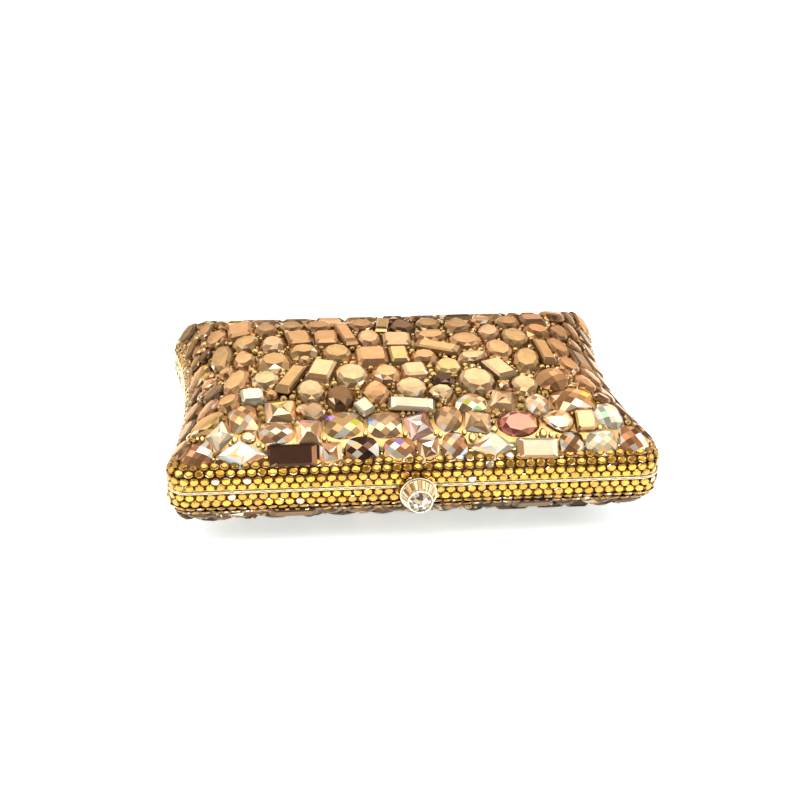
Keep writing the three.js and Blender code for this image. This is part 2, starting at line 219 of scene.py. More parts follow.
def metal_material(name, light, dark, roughness, scratch=0.25):
    """Plated metal: soft tarnish in patches and fine scratches in the polish."""
    nodes = material_nodes(name)
    patches = nodes.noise(90, 6)
    color = nodes.ramp(patches, (0.3, (*dark, 1)), (0.62, (*light, 1)))
    nodes.feed(color, "Base Color")
    rough = nodes.ramp(nodes.noise(2200, 4), (0.3, grey(roughness)), (0.8, grey(roughness * 1.8)))
    nodes.feed(rough, "Roughness")
    nodes.set(Metallic=1.0)
    nodes.bump(nodes.noise(3000, 2), scratch, 0.00004)
    return nodes.owner


# ---- outline and surfaces ----
def outline_points(straight=48, corner=16, side=40):
    """Points round the bag's outline, each with its inward normal."""
    cx, cy = CORNER_X, CORNER_Y
    side_x = WAIST / 2 + WAIST_R
    turn = atan2(cy, side_x - cx)
    half = pi / 2
    points = []

    def arc(x, y, r, start, end, steps, inward):
        for i in range(steps):
            t = start + (end - start) * i / steps
            c, s = cos(t), sin(t)
            points.append((x + r * c, y + r * s, inward * c, inward * s))

    def line(start, end, y, ny):
        for i in range(straight):
            points.append((start + (end - start) * i / straight, y, 0, ny))

    line(-cx, cx, -DEPTH / 2, 1)
    arc(cx, -cy, CORNER_R, -half, turn, corner, -1)
    arc(side_x, 0, WAIST_R, pi + turn, pi - turn, side, 1)
    arc(cx, cy, CORNER_R, -turn, half, corner, -1)
    line(cx, -cx, DEPTH / 2, -1)
    arc(-cx, cy, CORNER_R, half, pi + turn, corner, -1)
    arc(-side_x, 0, WAIST_R, turn, -turn, side, 1)
    arc(-cx, -cy, CORNER_R, pi - turn, 3 * half, corner, -1)
    return np.array(points)


OUTLINE = outline_points()


def ring(inset, height, half=1):
    """The outline moved in, by one inset or one for each point, and above or below the seam.

    Past OFFSET_LIMIT it shrinks towards the bag's spine instead, so that it never crosses itself.
    """
    near = np.minimum(inset, OFFSET_LIMIT)
    share = (DEPTH / 2 - inset) / (DEPTH / 2 - near)
    xy = OUTLINE[:, :2] + OUTLINE[:, 2:] * np.reshape(near, (-1, 1))
    spine = np.clip(xy[:, 0] * SPINE / (WIDTH / 2), -SPINE, SPINE)
    x = spine + (xy[:, 0] - spine) * share
    z = np.full(len(x), SEAM_Z + half * height)
    return np.column_stack((x, xy[:, 1] * share, z))


def dome(inset, edge, low, high):
    r = max((DEPTH / 2 - inset) / (DEPTH / 2 - edge), 0)
    return low + (high - low) * (1 - r**DOME_POWER)


def stone_top(inset):
    return dome(inset, 0, BAND_HALF, SEAM_Z)


def lofted(rings, first_cap=True):
    """Vertices and faces of a skin over a list of rings, capped at its ends."""
    count = len(rings[0])
    faces = []
    for i in range(len(rings) - 1):
        for j in range(count):
            k = (j + 1) % count
            faces.append((i * count + j, i * count + k, (i + 1) * count + k, (i + 1) * count + j))
    faces.append(tuple(range((len(rings) - 1) * count, len(rings) * count)))
    if first_cap:
        faces.append(tuple(reversed(range(count))))
    return np.vstack([np.array(points) for points in rings]), faces


FINE_INSETS = [i * i * 0.085 * MM for i in range(27)] + [60.5 * MM]
STONE_DOME = BVHTree.FromPolygons(*lofted([ring(d, stone_top(d)) for d in FINE_INSETS], False))


def on_dome(x, y):
    """Point and normal of the front dome above a place in plan, or None outside it."""
    hit, normal, _, _ = STONE_DOME.ray_cast(Vector((x, y, 1)), Vector((0, 0, -1)))
    if hit is None:
        return None
    return hit, normal if normal.z > 0 else -normal


# ---- meshes ----
def flipped(faces):
    return [tuple(reversed(face)) for face in faces]


def new_object(name, vertices, faces, material, smooth=False, flip=False):
    """A mesh object; flip turns its faces over."""
    mesh = bpy.data.meshes.new(name)
    mesh.from_pydata([tuple(v) for v in vertices], [], flipped(faces) if flip else faces)
    mesh.materials.append(material)
    mesh.polygons.foreach_set("use_smooth", [smooth] * len(mesh.polygons))
    mesh.update()
    return linked(name, mesh)


def clean(bm):
    """Drops loose points and turns every face outward."""
    bmesh.ops.delete(bm, geom=[v for v in bm.verts if not v.link_faces], context="VERTS")
    bmesh.ops.recalc_face_normals(bm, faces=bm.faces)


def clean_object(obj, weld=False, split=False):
    """Cleans an object's mesh; welds doubles or splits its large faces first, if asked."""
    bm = bmesh.new()
    bm.from_mesh(obj.data)
    if weld:
        bmesh.ops.remove_doubles(bm, verts=bm.verts, dist=1e-6)
    if split:
        bmesh.ops.triangulate(bm, faces=[f for f in bm.faces if len(f.verts) > 4])
    clean(bm)
    bm.to_mesh(obj.data)
    bm.free()


class Cluster:
    """Many stones gathered into one mesh, with a colour stored on every facet.

    The colour's fourth value is how much of the foil behind the stone shows through.
    """

    def __init__(self):
        self.vertices = []
        self.faces = []
        self.colors = []

    def add(self, vertices, faces, colors, foil=1.0):
        base = len(self.vertices)
        self.vertices.extend(vertices)
        self.faces.extend(tuple(base + i for i in face) for face in faces)
        self.colors.extend((*color, foil) for color in colors)

    def build(self, name, material, body):
        obj = new_object(name, self.vertices, self.faces, material)
        layer = obj.data.color_attributes.new("facet", "FLOAT_COLOR", "CORNER")
        corners = [c for face, c in zip(self.faces, self.colors) for _ in face]
        layer.data.foreach_set("color", np.array(corners).ravel())
        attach(obj, body)
        return obj


# ---- cuts of stone ----
def oval_ring(power=2.0):
    def point(t):
        c, s = cos(t), sin(t)
        k = 2 / power
        return copysign(abs(c) ** k, c), copysign(abs(s) ** k, s)

    return point


def navette_ring(t):
    return cos(t), sin(t) * abs(sin(t)) ** 0.5


def pear_ring(t):
    s = sin(t)
    return cos(t) * (1 - 0.42 * max(s, -0.2)) / 1.084, s


def corner_ring(corners, cut):
    """A straight-sided outline whose corners are cut off, as a function of the angle."""
    points = []
    for i, corner in enumerate(corners):
        for other in (corners[i - 1], corners[(i + 1) % len(corners)]):
            points.append(tuple(a + (b - a) * cut for a, b in zip(corner, other)))

    def point(t):
        return points[round(t / (2 * pi) * len(points)) % len(points)]

    return point


SQUARE = [(1, -1), (1, 1), (-1, 1), (-1, -1)]
DIAMOND = [(1, 0), (0, 1), (-1, 0), (0, -1)]
# Each level of a cut: scale of the outline, height, number of points, turn in steps.
BRILLIANT = [(0.96, 0.1, 16, 0), (1.0, 0.3, 16, 0), (0.84, 0.72, 8, 0.5), (0.6, 1.0, 8, 0)]
BROAD = [(0.96, 0.1, 16, 0), (1.0, 0.34, 16, 0), (0.9, 0.74, 12, 0.5), (0.7, 0.95, 8, 0)]
BROAD += [(0.34, 1.0, 4, 0.5)]
STEP = [(0.96, 0.1, 8, 0), (1.0, 0.34, 8, 0), (0.9, 0.76, 8, 0), (0.7, 1.0, 8, 0)]
STAR = [(0.96, 0.1, 8, 0), (1.0, 0.36, 8, 0), (0.62, 0.8, 4, 0.5), (0.16, 1.0, 4, 0)]
GIRDLE = [(0.96, 0.1, 20, 0), (1.0, 0.3, 20, 0)]
LATTICE_STEP = 0.4
CUTS = {
    "oval": (oval_ring(), BROAD, 2.0),
    "round": (oval_ring(), BRILLIANT, 2.0),
    "checker": (oval_ring(2.2), GIRDLE, 2.2),
    "cushion": (oval_ring(3.0), GIRDLE, 3.0),
    "pear": (pear_ring, BROAD, 1.8),
    "navette": (navette_ring, BROAD, 1.4),
    "square": (corner_ring(SQUARE, 0.1), STEP, 6.0),
    "star": (corner_ring(SQUARE, 0.08), STAR, 6.0),
    "rhombus": (corner_ring(DIAMOND, 0.06), STAR, 1.1),
    "baguette": (corner_ring(SQUARE, 0.05), STEP, 8.0),
}


def lattice_points(power):
    """Corners of a checkerboard crown: a square lattice, turned 45 degrees, on a shallow dome."""
    points = []
    for i in range(-4, 5):
        for j in range(-4, 5):
            u = (i + 0.5) * LATTICE_STEP
            v = (j + 0.5) * LATTICE_STEP
            x, y = (u - v) / sqrt(2), (u + v) / sqrt(2)
            if abs(x / 0.86) ** power + abs(y / 0.86) ** power < 1:
                points.append((x, y, 1 - 0.5 * (x * x + y * y)))
    return points


def cut_stone(outline, levels, power):
    """A unit stone: the convex body over its levels, as vertices, faces and face normals."""
    bm = bmesh.new()
    for scale, height, count, turn in levels:
        for i in range(count):
            x, y = outline(2 * pi * (i + turn) / count)
            bm.verts.new((x * scale, y * scale, height))
    if levels is GIRDLE:
        for point in lattice_points(power):
            bm.verts.new(point)
    bmesh.ops.convex_hull(bm, input=bm.verts)
    bmesh.ops.dissolve_limit(bm, angle_limit=0.02, verts=bm.verts, edges=bm.edges)
    clean(bm)
    bm.verts.index_update()
    vertices = [tuple(v.co) for v in bm.verts]
    faces = [tuple(v.index for v in f.verts) for f in bm.faces]
    normals = [f.normal.copy() for f in bm.faces]
    bm.free()
    return vertices, faces, normals


STONES = {name: cut_stone(*cut) for name, cut in CUTS.items()}
RHINESTONE_LEVELS = [(0.96, 0.1, 8, 0), (1.0, 0.36, 8, 0), (0.82, 0.84, 8, 0), (0.52, 1.0, 8, 0.5)]
RHINESTONE = cut_stone(oval_ring(), RHINESTONE_LEVELS, 2.0)

TONES = {
    "tan": (0.82, 0.435, 0.185),
    "peach": (1.0, 0.55, 0.27),
    "cream": (0.98, 0.75, 0.50),
    "white": (0.97, 0.88, 0.72),
    "copper": (0.52, 0.23, 0.10),
    "brown": (0.34, 0.17, 0.07),
    "dark": (0.10, 0.045, 0.025),
    "olive": (0.70, 0.41, 0.16),
    "gold": (0.92, 0.56, 0.21),
    "pink": (0.85, 0.46, 0.36),
    "red": (0.60, 0.18, 0.12),
    "ash": (0.20, 0.14, 0.09),
    "smoke": (0.50, 0.30, 0.15),
    "bronze": (0.54, 0.27, 0.10),
}
# Painted rainbow flashes and painted glints, which some crown facets take instead of the stone's tone.
PAINTED_FLASHES = [(0.9, 0.75, 0.1), (0.55, 0.35, 0.9), (0.35, 0.8, 0.35), (0.9, 0.35, 0.3), (0.4, 0.6, 0.9)]
PAINTED_GLINTS = ("white", "cream", "peach", "white", "copper")
# Painted light and shade on a crown's facets, as shares of the stone's tone.
BRIGHT_CROWN = (0.4, 0.6, 0.85, 1.0, 1.15)
DARK_CROWN = (0.15, 0.25, 0.4, 0.6)
SHADED_CROWN = (0.5, 0.6, 0.7, 0.85, 1.0)
# Painted shade on a girdle's facets, as shares of the stone's tone.
GIRDLE_SHADES = (0.22, 0.3, 0.4, 0.5, 1.0)
# Painted shade: crown facets that lean to the clasp edge are painted darker.
CLASP_PAINTED_SHADE = 0.7  # how much darker a facet is that leans to the clasp edge
TABLE_LEVEL = 0.985  # a facet's normal points up more than this on the table
GIRDLE_LEVEL = 0.45  # and less than this on the girdle


def shade(color, factor):
    return tuple(min(c * factor, 1.0) for c in color)


def facet_colors(rng, normals, turn, tone, glint_share, flash_share, crown):
    """Colours for a stone's facets: an even table, crown facets with painted light and shade, painted
    glints and rainbow flashes, and a girdle darkened with painted shade.

    Crown facets that lean to the clasp edge are darkened further with painted shade.
    """
    colors = []
    for normal in normals:
        to_clasp = -(normal.x * sin(turn) + normal.y * cos(turn))
        # painted shade on facets that lean to the clasp edge
        depth = 1 - CLASP_PAINTED_SHADE * max(to_clasp, 0)
        roll = rng.random()
        if normal.z > TABLE_LEVEL:
            colors.append(shade(tone, rng.uniform(0.92, 1.12)))
        # painted shade on the girdle
        elif normal.z < GIRDLE_LEVEL:
            colors.append(shade(tone, rng.choice(GIRDLE_SHADES)))
        # painted rainbow flashes and painted glints
        elif roll < flash_share:
            colors.append(rng.choice(PAINTED_FLASHES))
        elif roll < flash_share + glint_share:
            colors.append(shade(TONES[rng.choice(PAINTED_GLINTS)], rng.uniform(0.85, 1.0)))
        else:
            # painted light and shade on the crown
            colors.append(shade(tone, rng.choice(crown) * depth))
    return colors


def both_halves(make):
    """Makes a part of the front half and the same part of the back half."""
    for half, prefix in ((1, "front"), (-1, "back")):
        make(half, f"{prefix}_half", prefix)


# ---- stones on the panels ----
# Each stone in millimetres in plan: cut, place x and y, size across and
# along, turn in degrees (0 if not given) and tone (tan if not given). Rows run from the clasp
# edge to the hinge edge, and the last one holds stones on the side slopes.
LAYOUT = [
    [("checker", -85, -56.6, 14, 8, 14, "copper"), ("rhombus", -68.5, -57, 21, 8.4, 0, "white"),
     ("baguette", -48.6, -57.6, 19, 5.6, 0, "dark"), ("star", -34, -57.6, 8, 5.8, 0, "copper"),
     ("checker", -21, -57.2, 14, 6.6, 0, "dark"), ("checker", -7, -57.4, 13, 6.2, 0, "copper"),
     ("star", 4.8, -57.6, 8, 5.4, 6, "brown"), ("checker", 15, -56.8, 11.6, 7.6, 0, "copper"),
     ("rhombus", 29.6, -57, 19, 8.6, 0, "cream"), ("baguette", 48, -58, 16, 4.6, -1, "cream"),
     ("checker", 61, -57.6, 10.4, 6.2, 3, "brown"), ("checker", 73.4, -57.2, 13.4, 6.6, 0, "cream"),
     ("checker", 86.2, -56.4, 12.6, 8, -14, "copper")],
    [("star", -77, -50.9, 9, 8, 42, "cream"), ("round", -66, -51.6, 4.6, 4, 0, "gold"),
     ("checker", -55.4, -50, 16, 9, 0, "peach"), ("star", -42, -49.8, 8.6, 7, 0, "peach"),
     ("checker", -28, -48, 15.5, 9, 4, "olive"), ("cushion", -11.6, -47.8, 14, 9.4, 0, "peach"),
     ("star", 1.4, -48.6, 10.6, 8.6, 18, "pink"), ("checker", 14, -46.4, 11, 9.6, 10, "peach"),
     ("star", 25.4, -48.6, 9.4, 8, -10, "peach"), ("round", 41, -49, 16.6, 11.4, 0, "red"),
     ("pear", 57, -48.4, 8, 13, 82, "peach"), ("square", 68, -49.6, 7, 6.4, 0, "gold"),
     ("checker", 78.2, -47.6, 12, 9.4, -34, "white")],
    [("navette", -82.4, -45.4, 15, 7, 36, "olive"), ("cushion", -67.4, -43.6, 14.6, 15, 8),
     ("star", -52.8, -40.4, 11, 10.6, 2, "peach"), ("pear", -40.4, -41, 9, 12, 74, "peach"),
     ("square", -19.2, -40.2, 7, 8.4, 34, "cream"), ("baguette", 0, -40, 19, 6.6, -7, "cream"),
     ("checker", 23.4, -39, 13.4, 10, 4, "peach"), ("star", 37.6, -39.4, 11, 12, -16, "peach"),
     ("checker", 50.8, -40.8, 9, 11.4, 0, "cream"), ("cushion", 65.2, -38.6, 16.8, 11.6, 10)],
    [("oval", -73.4, -33.4, 10.4, 13.6, -26), ("square", -62.6, -32, 8, 8.6, 4, "cream"),
     ("oval", -39.4, -30, 11.4, 15.4, 0, "peach"), ("round", -28.2, -33.4, 13, 17, -6, "brown"),
     ("pear", -13.6, -31, 14, 17.4), ("oval", 1.2, -29.8, 11.6, 13.8, 0, "peach"),
     ("pear", 12.6, -33, 10.6, 9.6, 190, "peach"), ("oval", 47.6, -29.6, 11.6, 15.4, 10, "peach"),
     ("navette", 73.6, -27.4, 14, 7.4, 98)],
    [("oval", -70.2, -17, 9, 21, -14), ("oval", -57.6, -20, 13, 16.6, 0, "peach"),
     ("baguette", -47.4, -19.6, 7.2, 26, -24, "olive"),
     ("baguette", -34.4, -12.8, 10.6, 19.6, -18, "peach"), ("oval", -22.4, -17.6, 14.2, 18.2, 0, "peach"),
     ("round", -8.6, -19.2, 12.6, 15), ("square", 5, -15.6, 8.8, 12, 4, "peach"),
     ("oval", 17.2, -13.2, 8.8, 13, -8, "gold"), ("round", 14.6, -24.4, 8.4, 7.2, 0, "dark"),
     ("oval", 28.2, -25.4, 14.4, 18, 0, "peach"), ("baguette", 38.6, -16.8, 9.4, 20.6, 22, "peach"),
     ("checker", 60.2, -24.4, 13.4, 17.6, -20)],
    [("pear", -82, -7, 11.6, 13, 20), ("pear", -66.4, 1.8, 9.6, 14.6, 8),
     ("round", -53.4, -3.4, 15.4, 15.8, 0, "olive"), ("round", -41.8, 4.4, 12.6, 11.8, 0, "olive"),
     ("oval", -27.6, 1.6, 12.6, 17.4, 0, "olive"), ("square", -12.6, -3.2, 12.4, 12.4),
     ("square", -1, -3.4, 7, 11.6, 0, "gold"), ("round", 9.6, -5, 12.4, 11.2),
     ("baguette", 15.4, 5, 19, 6, -24, "olive"), ("pear", 30, -5.6, 11, 14, -70, "peach"),
     ("oval", 42.4, 1.8, 9.6, 16, 6), ("oval", 52.4, -8.6, 10.4, 21, -14, "olive"),
     ("baguette", 62.2, -0.6, 5.6, 21, 2, "olive"), ("oval", 69.8, -10.4, 8.6, 14, 4)],
    [("oval", -76.4, 9.8, 8.8, 20, 2, "olive"), ("oval", -65, 16.4, 10.2, 11.4, 0, "olive"),
     ("round", -53.8, 13.2, 10.8, 10.6, 0, "peach"), ("square", -42, 16.4, 10.6, 11.6, 8),
     ("square", -30.6, 16, 10.4, 11.6), ("baguette", -22, 20.2, 4.8, 18.6, 10),
     ("oval", -11.8, 15.8, 8.8, 13.4, 0, "peach"), ("square", 0.8, 12.4, 11.4, 12, -3, "peach"),
     ("oval", 14.8, 16.4, 11.8, 8.8, 12), ("oval", 30.6, 10.4, 13.6, 12.6),
     ("oval", 40.8, 17.6, 9.8, 14.6, -10, "peach"), ("oval", 51.2, 14.6, 10.2, 12.4, 0, "olive"),
     ("oval", 70, 5.8, 8.4, 14.6, 8), ("round", 63.2, 19.6, 12, 10)],
    [("oval", -78.6, 28.4, 10.4, 12.4, 8), ("square", -67.6, 29, 10, 11.6, 3),
     ("pear", -56.2, 28.6, 10.8, 14.4), ("oval", -44.8, 29.4, 10.6, 10.4, 0, "olive"),
     ("oval", -33.6, 29.6, 10.4, 10.4), ("oval", -13.4, 30, 10, 11.4),
     ("baguette", -4.4, 29.4, 5.2, 15, -10, "olive"), ("pear", 4.6, 26.2, 9.6, 13.2, 4, "brown"),
     ("oval", 15.8, 28, 11.6, 12.4, 0, "olive"), ("pear", 28, 27.4, 12.4, 15.4, -6),
     ("oval", 40.4, 31, 9.8, 9.6), ("oval", 51.2, 28, 11, 12),
     ("square", 62.8, 31.4, 10, 9.6, 0, "peach"), ("oval", 74.6, 22, 9, 15.4, -16)],
    [("oval", -70.4, 41.6, 13, 10), ("oval", -56, 43.4, 13, 10.4, 0, "peach"),
     ("pear", -41.6, 42, 10, 13, 90), ("square", -27, 42, 12, 10, 0, "smoke"), ("oval", -13, 43, 14, 10),
     ("round", 1.6, 41.4, 12, 11, 0, "brown"), ("oval", 15.6, 42.4, 14, 10, 0, "smoke"),
     ("baguette", 30.4, 42.4, 13, 8, 6, "olive"), ("oval", 45.4, 42.6, 14, 10.6),
     ("pear", 60.4, 43, 11, 14, -90), ("oval", 74.6, 39.6, 11, 12)],
    [("oval", -80, 52.6, 13, 8, 14), ("square", -64.4, 53.4, 12, 8), ("oval", -50.6, 53.6, 12.6, 8),
     ("oval", -36.4, 53.2, 13, 8.4, 0, "olive"), ("rhombus", -20.4, 53.6, 17, 8, 0, "peach"),
     ("oval", -5, 53.6, 12, 8), ("baguette", 9.4, 54, 14, 6), ("oval", 24.4, 53.4, 13, 8.4, 0, "peach"),
     ("square", 38.4, 53.8, 12, 7.6), ("oval", 52, 53.6, 12, 8, 0, "brown"), ("round", 65.4, 53.6, 12, 8),
     ("oval", 80, 52.4, 13, 8, -14)],
    [("oval", -83.4, -33.5, 8, 14, -22), ("oval", -80.6, -18.4, 7.6, 13, -20, "smoke"),
     ("oval", -83.6, 20.4, 7.4, 13, -14, "brown"), ("oval", -84.2, 40.6, 8.4, 11),
     ("oval", 85.6, -43.4, 7, 12, 16, "smoke"), ("oval", 82.8, -29.4, 8, 13, 14),
     ("oval", 80.4, -14.6, 8, 13, 12), ("baguette", 79.4, -0.4, 7, 13, 6, "smoke"),
     ("oval", 79.8, 13.8, 8, 13, 8), ("oval", 83, 28.2, 8, 13, 6), ("oval", 84.2, 41, 8, 11, 0, "smoke")],
]
# The columns of stones down the sides, in millimetres.
SIDE_STONES = 8
SIDE_PITCH = 14.4
SIDE_INSET = 4.4
SIDE_ACROSS, SIDE_ALONG, SIDE_END_ALONG = 7.4, 13.4, 8
SIDE_LEAN = 14  # degrees
SIDE_TONES = ("tan", "smoke", "bronze", "brown", "tan", "olive", "bronze", "smoke")


def waist_at(y):
    """Half the bag's width at a place along the waisted side."""
    return WAIST / 2 + WAIST_R - sqrt(WAIST_R**2 - y**2)


def side_column(side):
    """Long stones that follow the waisted side, leaning towards the hinge."""
    stones = []
    last = SIDE_STONES - 1
    for k in range(SIDE_STONES):
        y = (k - last / 2) * SIDE_PITCH
        edge = waist_at(y * MM) / MM
        cut = "baguette" if side > 0 and k % 3 == 1 else "oval"
        tone = SIDE_TONES[(k + (side > 0)) % len(SIDE_TONES)]
        along = SIDE_ALONG if 0 < k < last else SIDE_END_ALONG
        x = side * (edge - SIDE_INSET)
        stones.append((cut, x, y, SIDE_ACROSS, along, side * SIDE_LEAN, tone))
    return stones


GROWTH = 1.03  # how much a stone grows or shrinks at a time while it is fitted
GROWTH_ROUNDS = 16
SHIFTS = [(0, 0), (1, 0), (-1, 0), (0, 1), (0, -1), (1, 1), (-1, -1), (1, -1), (-1, 1)]
NEARBY = 32 * MM
SETTING_GAP = 0.1  # between stones, in millimetres
EDGE_INSET = 0.1  # how far in from the outline the stones start
EDGE_STEPS = 24  # places round a stone where it is tested
MOST_PROUD = 1.7 * MM  # how far the dome may fall away under a stone's end
LONG_CUTS = ("baguette", "rhombus", "oval")
LONGEST = {cut: (24 if cut in LONG_CUTS else 19) * MM for cut in CUTS}  # growth stops there


def within_outline(x, y, inset):
    """Whether a place in plan is inside the outline moved in by inset."""
    x, y = abs(x), abs(y)
    if y > CORNER_Y and x > CORNER_X:
        return hypot(x - CORNER_X, y - CORNER_Y) < CORNER_R - inset
    return y < DEPTH / 2 - inset and x < waist_at(y) - inset


class Stone:
    """A stone's cut and its place, size and turn in plan."""

    def __init__(self, row, cut, x, y, across, along, turn=0, tone="tan"):
        self.row, self.cut, self.tone = row, cut, tone
        self.x, self.y = x * MM, y * MM
        self.across, self.along = across * MM, along * MM
        self.turn = radians(turn)
        self.c, self.s = cos(self.turn), sin(self.turn)
        self.trace()

    def trace(self):
        """The stone's edge in plan, a little outside the real one."""
        outline = CUTS[self.cut][0]
        a = self.across / 2 + SETTING_GAP * MM / 2
        b = self.along / 2 + SETTING_GAP * MM / 2
        self.edge = []
        for i in range(EDGE_STEPS):
            u, v = outline(2 * pi * i / EDGE_STEPS)
            x = self.x + u * a * self.c - v * b * self.s
            self.edge.append((x, self.y + u * a * self.s + v * b * self.c))
        self.reach = max(a, b) * 1.3

    def covers(self, x, y):
        dx, dy = x - self.x, y - self.y
        u = abs(dx * self.c + dy * self.s) * 2 / self.across
        v = abs(dy * self.c - dx * self.s) * 2 / self.along
        power = CUTS[self.cut][2]
        return u**power + v**power < 1

    def touches(self, other):
        if hypot(self.x - other.x, self.y - other.y) > self.reach + other.reach:
            return False
        mine = any(self.covers(*point) for point in other.edge)
        return mine or any(other.covers(*point) for point in self.edge)

    def lies_flat(self):
        """Whether the stone's ends stay near the dome, which bends down under them."""
        spot = on_dome(self.x, self.y)
        if spot is None:
            return True
        for place in self.edge[:: EDGE_STEPS // 4]:
            end = on_dome(*place)
            if end and (spot[0] - end[0]).dot(spot[1]) > MOST_PROUD:
                return False
        return True

    def fits(self, stones):
        if not all(within_outline(x, y, EDGE_INSET * MM) for x, y in self.edge):
            return False
        if not self.lies_flat():
            return False
        return not any(self.touches(other) for other in stones if other is not self)

    def scaled(self, across, along):
        self.across *= across
        self.along *= along
        self.trace()

    def moved(self, u, v):
        """Moves the stone by u across and v along itself."""
        self.x += u * self.c - v * self.s
        self.y += u * self.s + v * self.c
        self.trace()

    def grow(self, across, along, stones):
        """Grows the stone, moving it aside by half its growth where that makes it fit."""
        step_u = self.across * (across - 1) / 2
        step_v = self.along * (along - 1) / 2
        self.scaled(across, along)
        for u, v in SHIFTS:
            self.moved(u * step_u, v * step_v)
            if self.fits(stones):
                return True
            self.moved(-u * step_u, -v * step_v)
        self.scaled(1 / across, 1 / along)
        return False


def fitted_stones():
    """The laid-out stones, each shrunk or grown until it just meets its neighbours."""
    stones = [Stone(row, *stone) for row, line in enumerate(LAYOUT) for stone in line]
    for side in (-1, 1):
        stones += [Stone(len(LAYOUT) - 1, *stone) for stone in side_column(side)]
    for _ in range(GROWTH_ROUNDS):
        for stone in [s for s in stones if not s.fits(stones)]:
            stone.scaled(1 / GROWTH, 1 / GROWTH)
    for _ in range(GROWTH_ROUNDS):
        for stone in stones:
            near = [s for s in stones if hypot(s.x - stone.x, s.y - stone.y) < NEARBY]
            for across, along in ((GROWTH, GROWTH), (GROWTH, 1), (1, GROWTH)):
                if max(stone.across, stone.along) * max(across, along) > LONGEST[stone.cut]:
                    continue
                if stone.grow(across, along, near):
                    break
    return stones


FITTED = fitted_stones()


DEPTH_SHARE = 0.42  # a stone's depth over its narrow side
THINNEST, THICKEST = 1.2 * MM, 4.4 * MM
FLATTEST = 0.3  # a stone on a steeper slope than this is not drawn out any further
PALE_FOIL = {"white": 0.15, "cream": 0.5}  # how much foil shows through the pale stones


def set_stone(cluster, rng, stone, look, half, sunk=0.0):
    """Sets one stone on a dome so that its plan stays as laid out whatever the slope."""
    spot = on_dome(stone.x, stone.y)
    if spot is None:
        return
    point, normal = spot
    vertices, faces, normals = STONES[stone.cut]
    depth = min(max(DEPTH_SHARE * min(stone.across, stone.along), THINNEST), THICKEST)
    lift = Vector((0, 0, 1)) / max(normal.z, FLATTEST)
    placed = []
    for u, v, w in vertices:
        dx = (u * stone.across * stone.c - v * stone.along * stone.s) / 2
        dy = (u * stone.across * stone.s + v * stone.along * stone.c) / 2
        level = Vector((dx, dy, 0)) - lift * (normal.x * dx + normal.y * dy)
        placed.append(point + level + normal * ((w - 1) * depth - sunk))
    colors = facet_colors(rng, normals, stone.turn, *look)
    if half < 0:
        placed = [(x, y, 2 * SEAM_Z - z) for x, y, z in placed]
        below = min(min(z for _, _, z in placed), 0)  # lifts a stone that would sink into the table
        placed = [(x, y, z - below) for x, y, z in placed]
        faces = flipped(faces)
    foil = PALE_FOIL.get(stone.tone, 1.0) if half > 0 else 1.0
    cluster.add([tuple(p) for p in placed], faces, colors, foil)


# ---- gaps between the stones ----
FILLER_SIZES = [4.4, 3.6, 3.0, 2.5]  # radii in plan, in millimetres, of tan stones
CHIP_SIZES = [1.6, 1.25, 0.95, 0.72]  # and of gold chips
CHIP_STEP = 0.6  # between the places that are tried
CHIP_INSET = 2.6  # how far in from the outline they start
CHIP_SUNK = 1.7 * MM  # chips sit lower than the large stones
NEAR_CHIP_SUNK = 0.6 * MM  # but not so low where the stones are thin
NEAR_ROWS = -44 * MM


def gap_spots():
    """Places in plan that no stone covers, each with the stones near it."""
    spots = []
    columns, rows = (int(size / 2 / MM / CHIP_STEP) for size in (WIDTH, DEPTH))
    around = FILLER_SIZES[0] * MM
    for i in range(-columns, columns):
        for j in range(-rows, rows):
            x, y = i * CHIP_STEP * MM, j * CHIP_STEP * MM
            if within_outline(x, y, CHIP_INSET * MM):
                near = [s for s in FITTED if hypot(s.x - x, s.y - y) < s.reach + around]
                if not any(s.covers(x, y) for s in near):
                    spots.append((x, y, near))
    return spots


def fill_gaps(rng):
    """Round stones that fit the gaps between the laid ones, largest first."""
    fillers = []
    spots = gap_spots()
    rng.shuffle(spots)
    for radius in FILLER_SIZES + CHIP_SIZES:
        tone = "tan" if radius in FILLER_SIZES else "gold"
        for x, y, near in spots:
            row = min(near, key=lambda s: hypot(s.x - x, s.y - y)).row if near else 0
            stone = Stone(row, "round", x / MM, y / MM, 2 * radius, 2 * radius, 0, tone)
            if stone.fits(near + fillers):
                fillers.append(stone)
    return fillers


FILLERS = fill_gaps(random.Random(11))
CHIPS = [stone for stone in FILLERS if stone.tone == "gold"]
FITTED += [stone for stone in FILLERS if stone.tone != "gold"]

# ---- stone panels ----
STONE_GLASS = stone_material("champagne_crystal", 0.72, 0.08, 0.14, (0.82, 0.62, 0.44, 1))
CHIP_GLASS = stone_material("gold_chip", 0.85, 0.1, 0.4)
CHIP_GOLD = (1.0, 0.60, 0.17)
# Painted light and shade by row: rows near the clasp edge are painted brighter, the far rows darker.
ROW_PAINTED_LIGHT = (1.2, 1.06, 1.08, 1.16, 1.18, 1.14, 1, 0.82, 0.72, 0.72, 0.74)  # each row's brightness
# Painted shade: the stones beyond this line on the right slope are painted darker and browner.
RIGHT_SLOPE = 58 * MM  # the stones beyond it are browner
RIGHT_PAINTED_SHADE = (0.9, 0.82, 0.76)
# Painted shade: the back half's stones take these dark tones at random in place of their own.
UNDER_SHADE_TONES = ("ash", "ash", "smoke", "brown", "ash")
